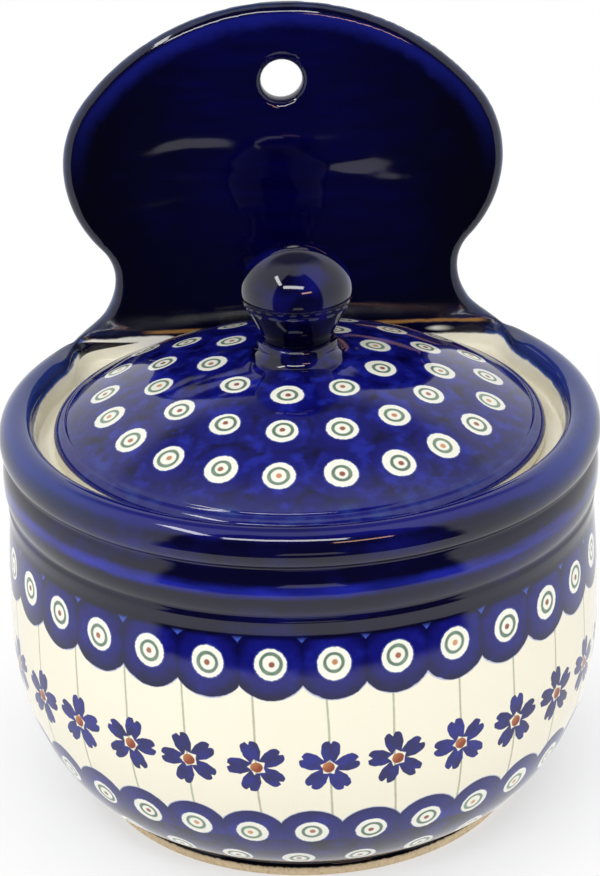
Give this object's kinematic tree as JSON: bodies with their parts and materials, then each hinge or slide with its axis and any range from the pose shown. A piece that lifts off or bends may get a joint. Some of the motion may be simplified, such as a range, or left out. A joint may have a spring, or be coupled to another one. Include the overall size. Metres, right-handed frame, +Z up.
{
  "type": "salt box",
  "caption": "Wall-hanging round stoneware salt box with a flat back slab that rises as a lobed hanging plate, a ribbed collar and a loose domed lid with a knob.",
  "frame": {"origin": "middle of the box's footprint on the table, at the bottom of the foot ring", "axes": "+Z up, +Y towards the wall that the flat back hangs on, +X to the right seen from the front"},
  "size_m": [0.155, 0.1375, 0.198],
  "materials": {
    "stamped_glaze": "glossy clear glaze over cream stoneware with stamped cobalt decoration",
    "cobalt_glaze": "glossy deep cobalt glaze, lighter where it thins on edges"
  },
  "bodies": {
    "crock": {"pot": "stamped_glaze", "back_plate": "cobalt_glaze"},
    "lid": {"lid": "cobalt_glaze", "knob": "cobalt_glaze"}
  },
  "joints": [
    {"name": "lid_lift", "type": "slide", "parent": "crock", "child": "lid", "axis": [0, 0, 1], "range_m": [0, 0.11]}
  ]
}
